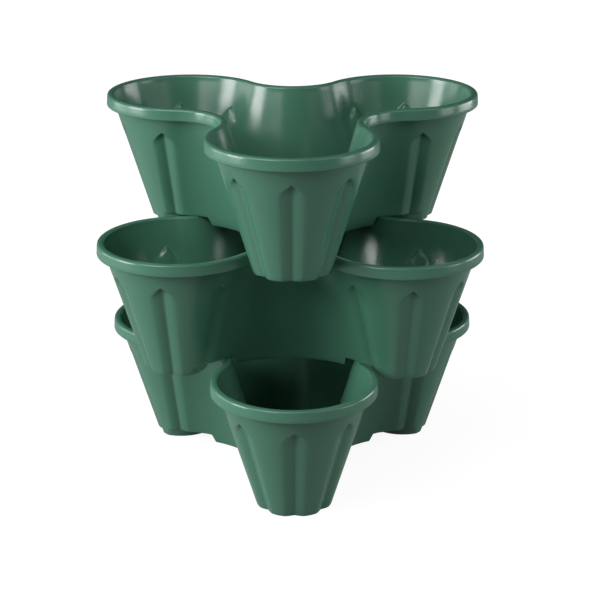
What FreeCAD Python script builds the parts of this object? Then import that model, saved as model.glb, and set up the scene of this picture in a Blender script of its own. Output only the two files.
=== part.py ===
import FreeCAD, Part
import math
import os

# Vertical planter tower: three equal three-lobed pots, each one plastic moulding, stacked
# with every pot turned by half a lobe spacing against the pot below.
# Millimetres, +Z up. The origin is on the bottom pot's axis, on the floor. The bottom pot
# points one lobe along -Y.

# Rim outline, at the outside of the rolled edge
lobe_count = 3
lobe_offset = 116.7
rim_lobe_radius = 76.0
rim_waist = 81.7

# Heights in one pot: rim, and the ledge that rests on the rim of the pot below
pot_height = 121.5
ledge_height = 8.5

# Wall and floor, with the outline of the base
wall_thickness = 2.5
floor_thickness = 2.5
base_lobe_radius = 35.0
base_waist = 43.5

# Rolled edge: a crest with rounded shoulders, and a skirt that hangs outside the wall
crest_width = 7.0
crest_round = 2.5
crest_thickness = 2.5
skirt_height = 11.2
skirt_flare = 0.5
skirt_thickness = 2.0

# Flutes pressed into each lobe, from the floor up to a pointed end below the skirt
flute_angles = (0.0, 50.0, -50.0, 101.5, -101.5)
flute_width_base = 18.0
flute_width_top = 25.0
flute_depth_base = 3.6
flute_depth_top = 4.2
flute_below_skirt = 14.3
flute_arch = 8.0

# Gaps between the underside and the rim of the pot below, at the level of the ledge, and
# how much wider the channel is at the base on the side of the foot and of the hub
foot_gap = 9.0
hub_gap = 5.2
foot_draft = 3.5
hub_draft = 1.5

# Drain holes in the feet and in the hub
foot_holes = 3
foot_hole = 8.0
foot_hole_circle = 16.0
hub_holes = 6
hub_hole = 8.0
hub_hole_circle = 26.0

# How the pots stand: half lobe spacings, and the share of the turn that the seat leaves free
tier_names = ("bottom_pot", "middle_pot", "top_pot")
tier_half_steps = (0, 1, 0)
tier_slack_shares = (0.0, -1.0, -0.25)

FULL_TURN = 360.0
FRONT = -90.0
CUT_MARGIN = 1.0
UP = FreeCAD.Vector(0, 0, 1)
ORIGIN = FreeCAD.Vector(0, 0, 0)


def polar(radius, angle, z=0.0):
    """Point at a radius and an angle in degrees, on the level z."""
    turn = math.radians(angle)
    return FreeCAD.Vector(radius * math.cos(turn), radius * math.sin(turn), z)


def hollow_radius(lobe_radius, waist):
    """Radius of the hollow arc that is tangent to two lobes and passes the waist distance."""
    chord = math.cos(math.pi / lobe_count) * 2 * lobe_offset
    rise = lobe_radius ** 2 - waist ** 2 + chord * waist - lobe_offset ** 2
    return rise / (2 * waist - chord - 2 * lobe_radius)


lobe_spacing = FULL_TURN / lobe_count
rim_hollow = hollow_radius(rim_lobe_radius, rim_waist)
hollow_centre = rim_waist + rim_hollow
wall_top = pot_height - crest_round
wall_inset = crest_width - wall_thickness
top_lobe_radius = rim_lobe_radius - wall_inset
top_waist = rim_waist - wall_inset
tier_pitch = pot_height - ledge_height
seat_slack = math.degrees(min(foot_gap, hub_gap + hub_draft) / hollow_centre)


def trefoil(lobe_radius, waist, z):
    """Closed outline of the lobe arcs joined by hollow waist arcs, at level z."""
    hollow_offset = waist + hollow_radius(lobe_radius, waist)
    edges = []
    for lobe in range(lobe_count):
        along = FRONT + lobe * lobe_spacing
        centre = polar(lobe_offset, along, z)
        next_centre = polar(lobe_offset, along + lobe_spacing, z)
        hollow_before = polar(hollow_offset, along - lobe_spacing / 2, z)
        hollow_after = polar(hollow_offset, along + lobe_spacing / 2, z)
        start = centre + (hollow_before - centre).normalize() * lobe_radius
        tip = polar(lobe_offset + lobe_radius, along, z)
        end = centre + (hollow_after - centre).normalize() * lobe_radius
        narrowest = polar(waist, along + lobe_spacing / 2, z)
        next_start = next_centre + (hollow_after - next_centre).normalize() * lobe_radius
        edges.append(Part.Arc(start, tip, end).toShape())
        edges.append(Part.Arc(end, narrowest, next_start).toShape())
    return Part.Wire(edges)


def drafted(inset):
    """Solid inside the drafted wall, set in from its outer face."""
    lower = trefoil(base_lobe_radius - inset, base_waist - inset, 0.0)
    upper = trefoil(top_lobe_radius - inset, top_waist - inset, wall_top)
    return Part.makeLoft([lower, upper], True, True)


def wall_radius(z):
    """Outer radius of a lobe's wall at level z."""
    return base_lobe_radius + (top_lobe_radius - base_lobe_radius) * z / wall_top


def turned(shape, angle):
    """Copy of a shape, turned about the vertical axis through the origin."""
    copy = shape.copy()
    copy.rotate(ORIGIN, UP, angle)
    return copy


def around_lobes(shape):
    """One copy of a shape for each lobe; it is drawn on a lobe's own axis, along +X."""
    shape.translate(FreeCAD.Vector(lobe_offset, 0, 0))
    return [turned(shape, FRONT + lobe * lobe_spacing) for lobe in range(lobe_count)]


def flute_section(z, width, depth, inset):
    """Triangle across a flute at level z, with its point depth + inset inside the wall.

    Its sides pass through the flute's edges on the wall and run on to twice the width.
    """
    half = width / 2
    point = wall_radius(z) - depth
    slope = (math.sqrt(wall_radius(z) ** 2 - half ** 2) - point) / half
    mouth = point - inset + slope * width
    corners = [FreeCAD.Vector(point - inset, 0, z),
               FreeCAD.Vector(mouth, width, z),
               FreeCAD.Vector(mouth, -width, z)]
    return Part.makePolygon(corners + corners[:1])


def flute(inset):
    """Cutter for one flute on a lobe that points along +X, with a pointed upper end."""
    groove = Part.makeLoft([
        flute_section(-CUT_MARGIN, flute_width_base, flute_depth_base, inset),
        flute_section(wall_top, flute_width_top, flute_depth_top, inset)], True, True)
    tip = pot_height - skirt_height - flute_below_skirt + inset
    eaves = tip - 2 * flute_arch
    low = -2 * CUT_MARGIN
    gable = Part.makePolygon([FreeCAD.Vector(0, across, z) for across, z in (
        (-flute_width_top, low), (flute_width_top, low), (flute_width_top, eaves),
        (0, tip), (-flute_width_top, eaves), (-flute_width_top, low))])
    return groove.common(Part.Face(gable).extrude(FreeCAD.Vector(2 * rim_lobe_radius, 0, 0)))


def flutes(inset):
    """The flute cutters of one pot."""
    one = flute(inset)
    cutters = []
    for angle in flute_angles:
        cutters.extend(around_lobes(turned(one, angle)))
    return cutters


def channels(height, thickness):
    """Rings under the lobes where the rim of the pot below lies, grown by a thickness."""
    foot_side = rim_hollow - skirt_flare - foot_gap - thickness
    hub_side = rim_hollow + crest_width + hub_gap + thickness
    reach = height + CUT_MARGIN
    low = FreeCAD.Vector(0, 0, -CUT_MARGIN)
    around_hub = Part.makeCone(hub_side + hub_draft * reach / height, hub_side, reach, low)
    around_foot = Part.makeCone(foot_side - foot_draft * reach / height, foot_side, reach, low)
    ring = around_hub.cut(around_foot)
    ring.translate(FreeCAD.Vector(hollow_centre - lobe_offset, 0, 0))
    return around_lobes(ring)


def rolled_edge():
    """Crest and skirt, swept round the rim outline."""
    def at(inward, z):
        return FreeCAD.Vector(0, inward - lobe_offset - rim_lobe_radius, z)

    def line(start, end):
        return Part.makeLine(at(*start), at(*end))

    def shoulder_arc(start, middle, end):
        return Part.Arc(at(*start), at(*middle), at(*end)).toShape()

    eased = crest_round * (1 - math.sqrt(0.5))
    skirt_end = pot_height - skirt_height
    outside = (0, wall_top)
    crest_out = (crest_round, pot_height)
    crest_in = (crest_width - crest_round, pot_height)
    inside = (crest_width, wall_top)
    in_wall = (crest_width - wall_thickness / 2, wall_top - wall_thickness)
    corner = (skirt_thickness, pot_height - crest_thickness)
    skirt_in = (skirt_thickness - skirt_flare, skirt_end)
    skirt_out = (-skirt_flare, skirt_end)
    profile = Part.Wire([
        shoulder_arc(outside, (eased, pot_height - eased), crest_out),
        line(crest_out, crest_in),
        shoulder_arc(crest_in, (crest_width - eased, pot_height - eased), inside),
        line(inside, in_wall),
        line(in_wall, corner),
        line(corner, skirt_in),
        line(skirt_in, skirt_out),
        line(skirt_out, outside)])
    return trefoil(rim_lobe_radius, rim_waist, 0.0).makePipeShell([profile], True, False)


def drains():
    """Cutters for the drain holes through the hub and the feet."""
    depth = floor_thickness + 2 * CUT_MARGIN
    cutters = []
    for hole in range(hub_holes):
        place = polar(hub_hole_circle, FRONT + hole * FULL_TURN / hub_holes, -CUT_MARGIN)
        cutters.append(Part.makeCylinder(hub_hole / 2, depth, place))
    for hole in range(foot_holes):
        place = polar(foot_hole_circle, hole * FULL_TURN / foot_holes, -CUT_MARGIN)
        cutters.extend(around_lobes(Part.makeCylinder(foot_hole / 2, depth, place)))
    return cutters


def pot():
    """One pot, standing on the floor with one lobe along -Y."""
    outside = drafted(0.0).cut(channels(ledge_height, 0.0)).cut(flutes(0.0))
    room = 2 * (lobe_offset + rim_lobe_radius)
    floor_slab = Part.makeBox(room, room, floor_thickness + CUT_MARGIN,
                              FreeCAD.Vector(-room / 2, -room / 2, -CUT_MARGIN))
    inside = drafted(wall_thickness).cut(floor_slab)
    inside = inside.cut(channels(ledge_height + floor_thickness, wall_thickness))
    inside = inside.cut(flutes(wall_thickness))
    return outside.cut(inside).fuse(rolled_edge()).cut(drains())


moulding = pot()
os.makedirs("parts", exist_ok=True)
for tier, name in enumerate(tier_names):
    stand = tier_half_steps[tier] * lobe_spacing / 2 + tier_slack_shares[tier] * seat_slack
    placed = turned(moulding, stand)
    placed.translate(UP * (tier * tier_pitch))
    placed.exportStep("parts/" + name + ".step")
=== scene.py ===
import math

import bmesh
import bpy
import numpy as np
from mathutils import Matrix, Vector


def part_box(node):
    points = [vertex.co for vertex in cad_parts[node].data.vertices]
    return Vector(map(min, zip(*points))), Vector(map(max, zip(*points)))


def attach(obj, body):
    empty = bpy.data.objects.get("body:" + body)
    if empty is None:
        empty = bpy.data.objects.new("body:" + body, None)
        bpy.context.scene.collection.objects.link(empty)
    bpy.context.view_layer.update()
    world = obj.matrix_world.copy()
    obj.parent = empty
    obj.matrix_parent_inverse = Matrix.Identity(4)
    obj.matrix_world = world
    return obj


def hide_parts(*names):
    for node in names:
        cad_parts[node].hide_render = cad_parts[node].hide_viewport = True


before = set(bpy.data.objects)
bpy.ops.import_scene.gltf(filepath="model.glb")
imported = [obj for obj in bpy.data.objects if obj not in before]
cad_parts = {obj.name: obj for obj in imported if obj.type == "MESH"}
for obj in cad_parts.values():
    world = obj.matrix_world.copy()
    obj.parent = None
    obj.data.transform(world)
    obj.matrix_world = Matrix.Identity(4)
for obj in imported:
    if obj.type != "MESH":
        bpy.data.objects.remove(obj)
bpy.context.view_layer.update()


# The wall of one pot: the side of a single injection moulding in green plastic. Three round
# lobes open into each other at hollow waists, and the wall leans outwards by its draft so
# that the mould lets go. Millimetres in the pot's own frame, with a lobe along +X.
lobe_count = 3
lobe_offset = 116.7
rim_lobe_radius = 76.0
rim_waist = 81.7
base_lobe_radius = 35.0
base_waist = 43.5
pot_height = 121.5
crest_width = 7.0
crest_round = 2.5
wall_thickness = 2.5
half_spacing = math.pi / lobe_count
lobe_spacing = 2 * half_spacing
wall_top = pot_height - crest_round
wall_inset = crest_width - wall_thickness


def hollow_radius(lobe_radius, waist):
    """Radius of the hollow arc that is tangent to two lobes and passes the waist distance."""
    rise = lobe_radius ** 2 - waist ** 2 + lobe_offset * waist - lobe_offset ** 2
    return rise / (2 * waist - lobe_offset - 2 * lobe_radius)


def wall_sizes(level):
    """Lobe radius and waist of the outer face, both straight lines in the level."""
    share = level / wall_top
    lobe_radius = base_lobe_radius + (rim_lobe_radius - wall_inset - base_lobe_radius) * share
    waist = base_waist + (rim_waist - wall_inset - base_waist) * share
    return lobe_radius, waist


def turn_at_meeting(lobe_radius, waist):
    """How far the outline's normal has turned from the lobe's tip to the end of its arc."""
    hollow = waist + hollow_radius(lobe_radius, waist)
    across = hollow * math.sin(half_spacing)
    return np.pi - np.arctan2(across, lobe_offset - hollow * math.cos(half_spacing))


def outline(station, lobe_radius, waist):
    """Points of the outline over the third of the pot about +X, as x, y and their normals.

    Station 0 is the lobe's tip, 1 the end of its arc and 2 the waist, and below 0 it is the
    mirror image. A point is the lobe's centre + radius * (cos turn, sin turn), and past 1
    the hollow arc's centre - its radius * (cos turn, sin turn).
    """
    side, along = np.sign(station), np.abs(station)
    hollow = hollow_radius(lobe_radius, waist)
    centre_x = (waist + hollow) * math.cos(half_spacing)
    centre_y = (waist + hollow) * math.sin(half_spacing)
    meeting = turn_at_meeting(lobe_radius, waist)
    on_lobe = along <= 1
    turn = np.where(on_lobe, along * meeting, meeting - (along - 1) * (meeting - half_spacing))
    nx, ny = np.cos(turn), np.sin(turn)
    x = np.where(on_lobe, lobe_offset + lobe_radius * nx, centre_x - hollow * nx)
    y = np.where(on_lobe, lobe_radius * ny, centre_y - hollow * ny)
    return x, y * side, nx, ny * side


def arc_lengths(lobe_radius, waist):
    """Lengths of the outline's lobe arc and hollow arc: radius times turn."""
    meeting = turn_at_meeting(lobe_radius, waist)
    return lobe_radius * meeting, hollow_radius(lobe_radius, waist) * (meeting - half_spacing)


# The flutes: shallow V grooves pressed into the lobes from the floor up to a pointed end a
# little below the skirt. They stiffen the thin wall, and the inner face follows them. They
# are crisp at the base and grow wider and softer towards the top. Pairs are base and top.
flute_turns = np.radians([0.0, 50.0, 101.5])
flute_width = (18.0, 25.0)
flute_pressed = (3.6, 4.2)
bottom_softness = (0.06, 0.20)
edge_softness = (0.08, 0.30)
roundness = (0.10, 0.40)
inner_softness = 0.25
inner_depth = 0.72
flute_below_skirt = 14.3
flute_arch = 8.0
flute_end_ease = 2.2
longer_ease_at_edges = 3
skirt_height = 11.2
eaves = pot_height - skirt_height - flute_below_skirt - flute_arch


def upwards(level, base, top):
    """A value that goes straight from the wall's base to its top."""
    return base + (top - base) * np.clip(level / wall_top, 0, 1)


def flute_half_width(level):
    """Half a flute's width, which goes straight from its base to its top."""
    return upwards(level, *flute_width) / 2


def eased(x):
    """0 below 0, 1 above 1, and 3x^2 - 2x^3 between them."""
    x = np.clip(x, 0, 1)
    return x * x * (3 - 2 * x)


def flute_section(across, bottom, edge, rounded):
    """t + rounded * (t^3 - t), where t is 1 - |across| with its top and edges softened."""
    t = 1 - np.sqrt(across ** 2 + bottom ** 2)
    t = (t + np.sqrt(t ** 2 + edge ** 2)) / 2
    return t + rounded * (t ** 3 - t)


def flute_depth(station, z, level, inset):
    """Depth pressed into the wall: the sections of all flutes over that of their middle.

    Each flute closes just below the eaves, over a longer way towards its edges. The inner
    face is shallower and softer.
    """
    lobe_radius, waist = wall_sizes(z)
    on_lobe, on_hollow = arc_lengths(lobe_radius, waist)
    station = np.abs(station)
    length = on_lobe * np.minimum(station, 1) + on_hollow * np.maximum(station - 1, 0)
    inwards = min(inset / wall_thickness, 1)
    bottom = upwards(z, *bottom_softness) + inner_softness * inwards
    edge = upwards(z, *edge_softness) + inner_softness * inwards
    rounded = upwards(z, *roundness)
    pressed = 0.0
    for centre in flute_turns:
        across = (length - centre * lobe_radius) / flute_half_width(z)
        ease = flute_end_ease * (1 + longer_ease_at_edges * np.abs(across))
        pressed = pressed + flute_section(across, bottom, edge, rounded) * eased((eaves - level) / ease)
    deepest = upwards(z, *flute_pressed) * (1 - (1 - inner_depth) * inwards)
    return pressed * deepest / flute_section(0.0, bottom, edge, rounded)


def wall_point(station, z, level, inset):
    """Points of the wall, set in from its outer face, less the flutes' depth.

    level is z less the row's climb over the flutes' pointed ends.
    """
    lobe_radius, waist = wall_sizes(z)
    x, y, nx, ny = outline(station, lobe_radius - inset, waist - inset)
    pressed = flute_depth(station, z, level, inset)
    return np.stack(np.broadcast_arrays(x - nx * pressed, y - ny * pressed, z), -1)


half_flute_stops = np.array([0.0, 0.08, 0.17, 0.28, 0.42, 0.58, 0.72, 0.85, 0.95, 1.05, 1.2])
columns_between_flutes = 8
columns_to_waist = 15


def mirrored(row, sign=-1):
    """A row from the tip to the waist, with its mirror image before it."""
    return np.concatenate([sign * row[:0:-1], row])


flute_stops = mirrored(half_flute_stops)


def stations(z):
    """Columns of the wall from the tip to the waist at one level, close together where a
    flute's edges and bottom are, so that those run up the wall as lines of the mesh."""
    lobe_radius, waist = wall_sizes(z)
    on_lobe, on_hollow = arc_lengths(lobe_radius, waist)
    places = flute_turns * lobe_radius
    stops = flute_stops * flute_half_width(z)
    lengths = [half_flute_stops * flute_half_width(z)]
    for before, after in zip(places[:-1], places[1:]):
        gap = np.linspace(before + stops[-1], after + stops[0], columns_between_flutes + 1)
        lengths += [gap[1:-1], after + stops]
    last = np.linspace(places[-1] + stops[-1], on_lobe + on_hollow, columns_to_waist + 1)
    length = np.concatenate(lengths + [last[1:]])
    return np.where(length <= on_lobe, length / on_lobe, 1 + (length - on_lobe) / on_hollow)


# The flutes' pointed ends: the wall's rows climb over each flute in an arch, so that the
# grooves' ends run along lines of the mesh. The climb begins below the wall's middle and
# dies out under the crest.
climb_below_eaves = 40
climb_rise = 34
settled_below_top = 6
settling = 19
peak = np.clip(1 - np.abs(flute_stops), 0, 1)
half_peak = peak[len(half_flute_stops) - 1:]
between = np.zeros(columns_between_flutes - 1)
hollow_flat = np.zeros(columns_to_waist)
column_peak = mirrored(np.concatenate([half_peak, between, peak, between, peak, hollow_flat]), 1)


def climb(level):
    """How far a row climbs over a flute's middle: the arch's full height at the eaves,
    none well below them and none at the wall's top."""
    begun = eased((level - eaves + climb_below_eaves) / climb_rise)
    return flute_arch * begun * eased((wall_top - settled_below_top - level) / settling)


first_above_ledge = 3
last_below_eaves = 9
rows_below = 11
rows_at_eaves = np.array([-6, -4.2, -3, -2.4, -1.9, -1.4, -0.9, -0.4, 0, 0.8, 2, 4])
first_above_eaves = 6.5
rows_above = 8


def wall_levels(ledge):
    """Levels of the wall's rows above its ledge: even ones, with close ones at the eaves."""
    below = np.linspace(ledge + first_above_ledge, eaves - last_below_eaves, rows_below)
    above = np.linspace(eaves + first_above_eaves, wall_top, rows_above)
    return np.concatenate([below, eaves + rows_at_eaves, above])


# The stepped underside: a foot under each lobe and a hub in the middle, and between them a
# channel where the rim of the pot below lies. The pot rests on the channels' ledges.
ledge_height = 8.5
floor_thickness = 2.5
foot_gap = 9.0
hub_gap = 5.2
foot_draft = 3.5
hub_draft = 1.5
skirt_flare = 0.5
edge_round = 0.9
rim_hollow = hollow_radius(rim_lobe_radius, rim_waist)
channel_centre = rim_waist + rim_hollow


def foot_side(z, thickness, ledge):
    """Distance of the foot's inner side from the channel's centre."""
    return rim_hollow - skirt_flare - foot_gap - thickness - foot_draft * (1 - z / ledge)


def hub_side(z, thickness, ledge):
    """Distance of the hub's side from the channel's centre."""
    return rim_hollow + crest_width + hub_gap + thickness + hub_draft * (1 - z / ledge)


foot_search = (0.55, 0.78)
hub_search = (1.0, 1.9)
search_steps = 2001


def corner(z, inset, distance, search):
    """Station where the wall crosses a circle about the channel's centre."""
    station = np.linspace(*search, search_steps)
    points = wall_point(station, np.full_like(station, z), z, inset)
    return np.interp(distance, np.hypot(points[:, 0] - channel_centre, points[:, 1]), station)


def nearest_column(side, search):
    """The column that lies nearest to a channel's corner at half its height."""
    level = ledge_height / 2
    station = corner(level, 0, side(level, 0, ledge_height), search)
    return int(np.abs(stations(level) - station).argmin())


foot_column = nearest_column(foot_side, foot_search)
hub_column = nearest_column(hub_side, hub_search)
columns_that_follow = 5
levels_that_follow = 25.0


def row_stations(z, inset, thickness, cut, ledge):
    """Stations of one level's columns, with two of them drawn onto the channel's corners.
    Their neighbours follow, less with each column and each level away."""
    row = stations(z)
    hold = np.clip(1 - (z - ledge) / levels_that_follow, 0, 1)
    level = min(z, ledge)
    for column, distance, search in (
            (foot_column, foot_side(level, thickness, ledge) - cut, foot_search),
            (hub_column, hub_side(level, thickness, ledge) + cut, hub_search)):
        away = corner(level, inset, distance, search) - row[column]
        near = np.clip(1 - np.abs(np.arange(len(row)) - column) / columns_that_follow, 0, 1)
        row = row + near * hold * away
    return mirrored(row)


arc_columns = 29


def channel_arcs(points):
    """For each point, the arc about the channel's centre to it from its mirror image."""
    away = channel_centre - points[:, :1]
    distance = np.hypot(away, points[:, 1:2])
    turn = np.arctan2(points[:, 1:2], away) * np.linspace(-1, 1, arc_columns)
    level = np.broadcast_to(points[:, 2:], turn.shape)
    return np.stack([channel_centre - distance * np.cos(turn), distance * np.sin(turn), level], -1)


def turned(points, angle):
    """Points turned about the pot's axis: (x cos - y sin, x sin + y cos)."""
    c, s = math.cos(angle), math.sin(angle)
    x, y = points[..., 0], points[..., 1]
    return np.stack([x * c - y * s, x * s + y * c, points[..., 2]], -1)


round_steps = ((0, 1), (0.3, 0.3), (1, 0))
sharp_step = ((0, 0),)
row_on_side = 0.6


def skin(inset, floor, ledge, rounding):
    """One face of the shell over a third of the pot, outer or inner: its wall, the sides of
    its foot and hub, and the channel's ledge. Gives their grids, and the edges of the
    foot's and the hub's floor."""

    def flat_row(z, cut=0.0, pulled=0.0):
        """A row at one height. A cut moves the channel's corners too, a pull doesn't."""
        station = row_stations(z, inset + cut, inset, cut, ledge)
        height = np.full_like(station, z)
        return wall_point(station, height, height, inset + cut + pulled)

    def climbing_row(level):
        """A row that climbs over the flutes' ends."""
        station = row_stations(level, inset, inset, 0.0, ledge)
        return wall_point(station, level + climb(level) * column_peak, level, inset)

    middle = len(column_peak) // 2
    column = np.abs(np.arange(len(column_peak)) - middle)
    over_channel = ((column > foot_column) & (column < hub_column))[:, None]
    steps = round_steps if rounding else sharp_step
    wall = []
    for up, share in steps:
        z = ledge + up * rounding
        wall.append(np.where(over_channel, flat_row(z, pulled=share * rounding), flat_row(z)))
    wall += [climbing_row(level) for level in wall_levels(ledge)]
    wall = np.stack(wall)

    lower = [flat_row(ledge), flat_row(floor + (ledge - floor) * row_on_side)]
    lower += [flat_row(floor + up * rounding, cut=share * rounding) for up, share in steps[::-1]]
    lower = np.stack(lower)
    foot = lower[:, middle - foot_column:middle + foot_column + 1]
    hub_after = lower[:, middle + hub_column:]
    hub_before = lower[:, :middle - hub_column + 1]
    foot_step = channel_arcs(foot[:, -1])
    hub_step = channel_arcs(hub_after[:, 0])
    ledge_sheet = channel_arcs(wall[0, middle + foot_column:middle + hub_column + 1])

    foot_edge = np.concatenate([foot[-1], foot_step[-1, -2:0:-1]])
    hub_side_after = np.concatenate([hub_step[-1, :-1], hub_after[-1]])
    hub_edge = []
    for lobe in range(lobe_count):
        hub_edge.append(turned(hub_side_after, lobe * lobe_spacing))
        hub_edge.append(turned(hub_before[-1, 1:-1], (lobe + 1) * lobe_spacing))
    grids = [wall, foot, hub_after, hub_before, foot_step, hub_step, ledge_sheet]
    return grids, foot_edge, np.concatenate(hub_edge)


# The floors of the feet and the hub, moulded with the walls. Round drain holes lie on a
# circle, three in each foot and six in the hub, so that water runs down from pot to pot.
drain_radius = 4.0
foot_drain_circle = 16.0
hub_drain_circle = 26.0
foot_drains = 3
hub_drains = 6
drain_margin = 1.5
ring_share = 0.88
rows_to_ring = 4
points_on_spoke = 9
rows_to_drain = 3


def closed(rows):
    """A grid whose last column is its first again."""
    return np.concatenate([rows, rows[:, :1]], 1)


def rows_between(start, end, count):
    """A closed grid that goes straight from one edge to another."""
    return closed(start + (end - start) * np.linspace(0, 1, count)[:, None, None])


def on_circle(centre, radius, turn, z):
    """Points round a centre: centre + radius * (cos turn, sin turn), at level z."""
    x, y = centre[0] + radius * np.cos(turn), centre[1] + radius * np.sin(turn)
    return np.stack([x, y, np.broadcast_to(z, x.shape)], -1)


def direction(points, centre):
    """The angle at which each point is seen from a centre."""
    seen = points[:, :2] - centre
    return np.arctan2(seen[:, 1], seen[:, 0])


def drained_floors(edges, centre, circle, drains):
    """Grids of the floors inside the edges, the outer face's first, and their drains' walls.

    Each floor goes straight from its edge to a ring, and from the border of each of the
    ring's equal sectors to the hole in it. All faces are divided as the first one is, so
    that the drains' walls join.
    """
    turn = direction(edges[0], centre)
    reach = np.hypot(*(edges[0][:, :2] - centre).T)
    ring_radius = np.minimum(circle + drain_radius + drain_margin, ring_share * reach)
    borders = (np.arange(drains) - 0.5) * 2 * np.pi / drains
    border = [int(np.abs((turn - b + np.pi) % (2 * np.pi) - np.pi).argmin()) for b in borders]
    spoke = np.linspace(0, 1, points_on_spoke)[:, None]
    grids, rims = [], [[] for _ in range(drains)]
    towards = [None] * drains
    for edge in edges:
        z = edge[0, 2]
        ring = on_circle(centre, ring_radius, turn, z)
        grids.append(rows_between(edge, ring, rows_to_ring))
        pole = np.array([*centre, z])
        for drain in range(drains):
            start, end = border[drain], border[(drain + 1) % drains]
            span = np.arange(start + 1, start + (end - start) % len(edge)) % len(edge)
            out = pole + (ring[start] - pole) * spoke
            back = (pole + (ring[end] - pole) * spoke)[:0:-1]
            around = np.concatenate([out, ring[span], back])
            place = drain * 2 * np.pi / drains
            hole = centre + circle * np.array([np.cos(place), np.sin(place)])
            if towards[drain] is None:
                towards[drain] = direction(around, hole)
            rim = on_circle(hole, drain_radius, towards[drain], z)
            rims[drain].append(rim)
            grids.append(rows_between(around, rim, rows_to_drain))
    return grids + [closed(np.stack(pair)) for pair in rims]


# The rolled edge: a crest with rounded shoulders over the wall's top, and a skirt that
# hangs outside the wall. It stiffens the pot, and carries the ledge of the pot above.
skirt_thickness = 2.0
skirt_end = pot_height - skirt_height
fillet = 1.0
fillet_middle = 0.3
inner_lean = 0.2
lean_below_top = 4.5
flare_shares = ((4.0, 0.6), (7.5, 0.2))
crest_turn = np.linspace(0, np.pi / 2, 7)
hem_turn = np.linspace(0, np.pi, 7)


def rolled_profile():
    """Inset and level along the edge's section, from the wall's outer face under the crest,
    down the skirt, round its hem, up outside and over the crest to the inner face. The
    skirt's flare dies out at heights above the hem."""
    under = [(wall_inset, wall_top),
             (skirt_thickness + fillet, wall_top),
             (skirt_thickness + fillet_middle, wall_top - fillet_middle),
             (skirt_thickness, wall_top - fillet),
             (skirt_thickness - inner_lean, wall_top - lean_below_top)]
    half = skirt_thickness / 2
    hem = np.stack([half - skirt_flare + half * np.cos(hem_turn),
                    skirt_end + half * (1 - np.sin(hem_turn))], -1)
    side = [(-skirt_flare * share, skirt_end + height) for height, share in flare_shares]
    outer = np.stack([crest_round * (1 - np.cos(crest_turn)),
                      wall_top + crest_round * np.sin(crest_turn)], -1)
    inner = np.stack([crest_width - outer[::-1, 0], outer[::-1, 1]], -1)
    return np.concatenate([under, hem, side, outer, inner])


def rolled_edge():
    """The section carried round the rim: each point follows the outline at its inset."""
    station = mirrored(stations(wall_top))
    rows = []
    for inset, z in rolled_profile():
        x, y, _, _ = outline(station, rim_lobe_radius - inset, rim_waist - inset)
        rows.append(np.stack([x, y, np.full_like(x, z)], -1))
    return np.stack(rows)


# The moulding: wall, underside, floors and rolled edge of one pot, which come out of the
# mould in one shot. Their faces are welded into a closed shell, and it is the same for all
# three pots.
weld_step = 0.001
crease = math.radians(35)
millimetre = 0.001


def moulding_grids():
    """Every grid of one pot: a third of it turned to each lobe, and the hub's floor."""
    outer, foot_out, hub_out = skin(0.0, 0.0, ledge_height, edge_round)
    inner_ledge = ledge_height + floor_thickness
    inner, foot_in, hub_in = skin(wall_thickness, floor_thickness, inner_ledge, 0.0)
    foot_centre = np.array([lobe_offset, 0.0])
    feet = drained_floors([foot_out, foot_in], foot_centre, foot_drain_circle, foot_drains)
    hub = drained_floors([hub_out, hub_in], np.zeros(2), hub_drain_circle, hub_drains)
    third = outer + inner + feet + [rolled_edge()]
    return [turned(grid, lobe * lobe_spacing) for lobe in range(lobe_count) for grid in third] + hub


def weld(grids):
    """Points and four-sided faces of all grids, with points in one place made one."""
    points, faces, start = [], [], 0
    for grid in grids:
        index = start + np.arange(grid.shape[0] * grid.shape[1]).reshape(grid.shape[:2])
        corners = [index[:-1, :-1], index[:-1, 1:], index[1:, 1:], index[1:, :-1]]
        faces.append(np.stack(corners, -1).reshape(-1, 4))
        points.append(grid.reshape(-1, 3))
        start += index.size
    points, faces = np.concatenate(points), np.concatenate(faces)
    _, first, same = np.unique(np.round(points / weld_step).astype(np.int64), axis=0,
                               return_index=True, return_inverse=True)
    return points[first], same.reshape(-1)[faces]


moulding_points, moulding_faces = weld(moulding_grids())


def pot(name, angle, level):
    """One moulding as a mesh object, turned and raised to its place in the tower."""
    points = turned(moulding_points, angle) + np.array([0, 0, level])
    mesh = bpy.data.meshes.new(name)
    mesh.from_pydata(points * millimetre, [], moulding_faces)
    shell = bmesh.new()
    shell.from_mesh(mesh)
    bmesh.ops.recalc_face_normals(shell, faces=shell.faces)
    shell.to_mesh(mesh)
    shell.free()
    mesh.shade_smooth()
    mesh.set_sharp_from_angle(angle=crease)
    piece = bpy.data.objects.new(name, mesh)
    bpy.context.scene.collection.objects.link(piece)
    return piece


# The green plastic: semi-gloss polypropylene with the fine grain of its mould, slow waves
# where the wall shrank as it cooled, and a gloss that is a little uneven.
plastic_green = (0.060, 0.180, 0.120, 1)
grain_scale = 1400.0
grain_detail = 2.0
grain_height = 0.0002
wave_scale = 28.0
wave_detail = 1.0
wave_height = 0.002
bump_strength = 0.10
gloss_scale = 60.0
gloss_detail = 3.0
least_roughness = 0.18
roughness_spread = 0.08


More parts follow.
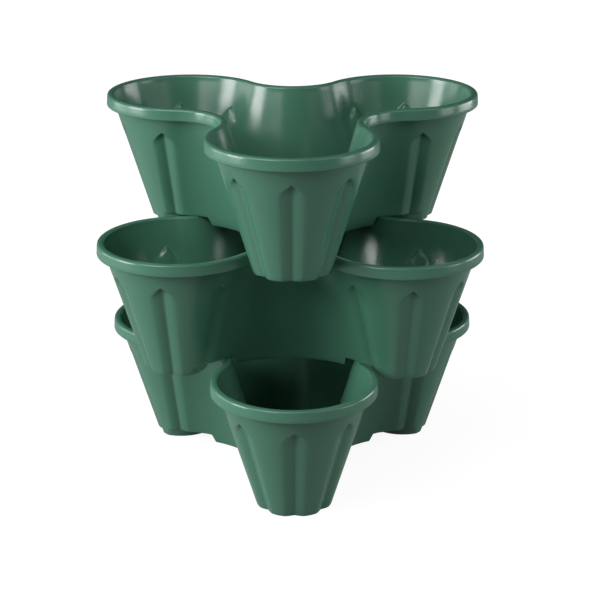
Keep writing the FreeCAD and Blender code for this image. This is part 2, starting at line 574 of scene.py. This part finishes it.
class Socket:
    """A node's output, so that shader maths reads as Python."""

    def __init__(self, tree, output):
        self.tree = tree
        self.output = output

    @staticmethod
    def of(tree, kind, settings, sockets, output=0):
        """One output of a new node. Its settings are made first, and then its sockets, which
        go by name or number."""
        made = tree.nodes.new(kind)
        for setting, value in settings.items():
            setattr(made, setting, value)
        for key, value in sockets.items():
            if isinstance(value, Socket):
                value.feed(made.inputs[key])
            else:
                made.inputs[key].default_value = value
        return Socket(tree, made.outputs[output])

    def feed(self, socket):
        """Link this output to a socket."""
        self.tree.links.new(self.output, socket)

    def maths(self, operation, first, second):
        """A Math node on two outputs or numbers."""
        return Socket.of(self.tree, "ShaderNodeMath", {"operation": operation}, {0: first, 1: second})

    def __add__(self, other):
        return self.maths("ADD", self, other)

    def __rsub__(self, other):
        return self.maths("SUBTRACT", other, self)

    def __mul__(self, other):
        return self.maths("MULTIPLY", self, other)

    __radd__, __rmul__ = __add__, __mul__


def noise(place, scale, detail):
    """Cloudy noise from 0 to 1, of a scale and detail, at each place."""
    sockets = {"Vector": place, "Scale": scale, "Detail": detail}
    return Socket.of(place.tree, "ShaderNodeTexNoise", {}, sockets)


def green_plastic():
    """The waves' bump over the grain's, and a roughness that follows its own noise."""
    material = bpy.data.materials.new("green_plastic")
    material.use_nodes = True
    tree = material.node_tree
    surface = tree.nodes["Principled BSDF"]
    surface.inputs["Base Color"].default_value = plastic_green
    place = Socket.of(tree, "ShaderNodeTexCoord", {}, {}, "Object")
    grain = Socket.of(tree, "ShaderNodeBump", {}, {
        "Strength": bump_strength, "Distance": grain_height,
        "Height": noise(place, grain_scale, grain_detail)})
    waves = Socket.of(tree, "ShaderNodeBump", {}, {
        "Strength": bump_strength, "Distance": wave_height,
        "Height": noise(place, wave_scale, wave_detail), "Normal": grain})
    waves.feed(surface.inputs["Normal"])
    roughness = least_roughness + roughness_spread * noise(place, gloss_scale, gloss_detail)
    roughness.feed(surface.inputs["Roughness"])
    return material


plastic = green_plastic()


# The tower: three equal pots, each turned by half a lobe spacing against the one below and
# resting with its ledge on that pot's rim. Each is turned a little in its loose seat. The
# table gives half lobe spacings, and the share of the turn that the seat leaves free.
front = -math.pi / 2
seat_slack = min(foot_gap, hub_gap + hub_draft) / channel_centre
standing = {"bottom_pot": (0, 0.0), "middle_pot": (1, -1.0), "top_pot": (0, -0.25)}
for name, (half_steps, slack_share) in standing.items():
    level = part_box(name)[0][2] / millimetre
    angle = front + half_steps * half_spacing + slack_share * seat_slack
    piece = pot("moulded_" + name, angle, level)
    piece.data.materials.append(plastic)
    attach(piece, name)
    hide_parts(name)


# The floor: a plain pale sheet. To the camera it is white and keeps the tower's shadow, far
# away it is white alone, and it shows faintly in reflections.
floor_half = 8.0
floor_roughness = 0.9
floor_grey = (0.28, 0.28, 0.28, 1)
seen_grey = (0.10, 0.10, 0.10, 1)
shadow_room = 0.09
shadow_fades = (0.8, 0.8, 0.8)
floor_in_gloss = 0.12
corners = [(-floor_half, -floor_half, 0), (floor_half, -floor_half, 0),
           (floor_half, floor_half, 0), (-floor_half, floor_half, 0)]
floor_mesh = bpy.data.meshes.new("floor")
floor_mesh.from_pydata(corners, [], [(0, 1, 2, 3)])
floor = bpy.data.objects.new("floor", floor_mesh)
bpy.context.scene.collection.objects.link(floor)
paper = bpy.data.materials.new("paper")
paper.use_nodes = True
tree = paper.node_tree
sheet = tree.nodes["Principled BSDF"]
sheet.inputs["Roughness"].default_value = floor_roughness
seen = Socket.of(tree, "ShaderNodeLightPath", {}, {}, "Is Camera Ray")
in_gloss = Socket.of(tree, "ShaderNodeLightPath", {}, {}, "Is Glossy Ray")
in_glass = Socket.of(tree, "ShaderNodeLightPath", {}, {}, "Is Transmission Ray")
grey = Socket.of(tree, "ShaderNodeMix", {"data_type": "RGBA"},
                 {0: seen, 6: floor_grey, 7: seen_grey}, 2)
grey.feed(sheet.inputs["Base Color"])
place = Socket.of(tree, "ShaderNodeTexCoord", {}, {}, "Object")
place = Socket.of(tree, "ShaderNodeMapping", {"vector_type": "POINT"},
                  {"Vector": place, "Scale": shadow_fades})
near = Socket.of(tree, "ShaderNodeTexGradient", {"gradient_type": "QUADRATIC_SPHERE"},
                 {"Vector": place}, 1)
glow = seen * (1 - shadow_room * near) + (in_gloss + in_glass) * floor_in_gloss
glow.feed(sheet.inputs["Emission Color"])
sheet.inputs["Emission Strength"].default_value = 1
floor_mesh.materials.append(paper)


# The light: a room that is white to the camera alone, and seven soft lamps round the tower.
# The strongest stands low at the left, and its reflection stands in the lobes as bright
# windows. The ones above fill the skirts and the crests.
room_light = 0.03
world = bpy.data.worlds.new("room")
bpy.context.scene.world = world
world.use_nodes = True
tree = world.node_tree
room = tree.nodes["Background"]
seen = Socket.of(tree, "ShaderNodeLightPath", {}, {}, "Is Camera Ray")
strength = room_light + seen * (1 - room_light)
room.inputs["Color"].default_value = (1, 1, 1, 1)
strength.feed(room.inputs["Strength"])

lamp_distance = 2.0
lamp_target = Vector((0, 0, 0.17))


def softbox(name, azimuth, elevation, width, height, power):
    """A lamp that faces the tower. Azimuth 0 is in front of it and 90 to its right."""
    light = bpy.data.lights.new(name, "AREA")
    light.shape = "RECTANGLE"
    light.size = width
    light.size_y = height
    light.energy = power
    a, e = math.radians(azimuth), math.radians(elevation)
    away = Vector((math.sin(a) * math.cos(e), -math.cos(a) * math.cos(e), math.sin(e)))
    lamp = bpy.data.objects.new(name, light)
    lamp.location = lamp_target + lamp_distance * away
    lamp.rotation_euler = away.to_track_quat("Z", "Y").to_euler()
    bpy.context.scene.collection.objects.link(lamp)


softbox("left", -75, 12, 0.85, 0.9, 33)
softbox("far_left", -106, 7, 1.0, 0.8, 9)
softbox("upper_left", -40, 38, 1.1, 1.0, 17.5)
softbox("above", -15, 62, 1.2, 1.0, 6)
softbox("right", 110, 8, 1.1, 0.9, 18)
softbox("front_right", 72, 7, 0.75, 0.75, 7)
softbox("above_right", 50, 38, 1.1, 1.0, 4.5)


# The camera, at the photograph's viewing angle: in front of the tower and above it, looking
# down by its tilt.
photo_size = 600
focal_pixels = 1756.27
sensor_width = 36
camera_place = (-0.01565, -1.59141, 0.72464)
camera_tilt = 0.3432
camera_turn = -0.0143
camera_data = bpy.data.cameras.new("camera")
camera_data.sensor_width = sensor_width
camera_data.lens = sensor_width * focal_pixels / photo_size
camera = bpy.data.objects.new("camera", camera_data)
camera.location = camera_place
camera.rotation_euler = (math.pi / 2 - camera_tilt, 0, camera_turn)
bpy.context.scene.collection.objects.link(camera)
bpy.context.scene.camera = camera
bpy.context.scene.view_settings.view_transform = "Standard"
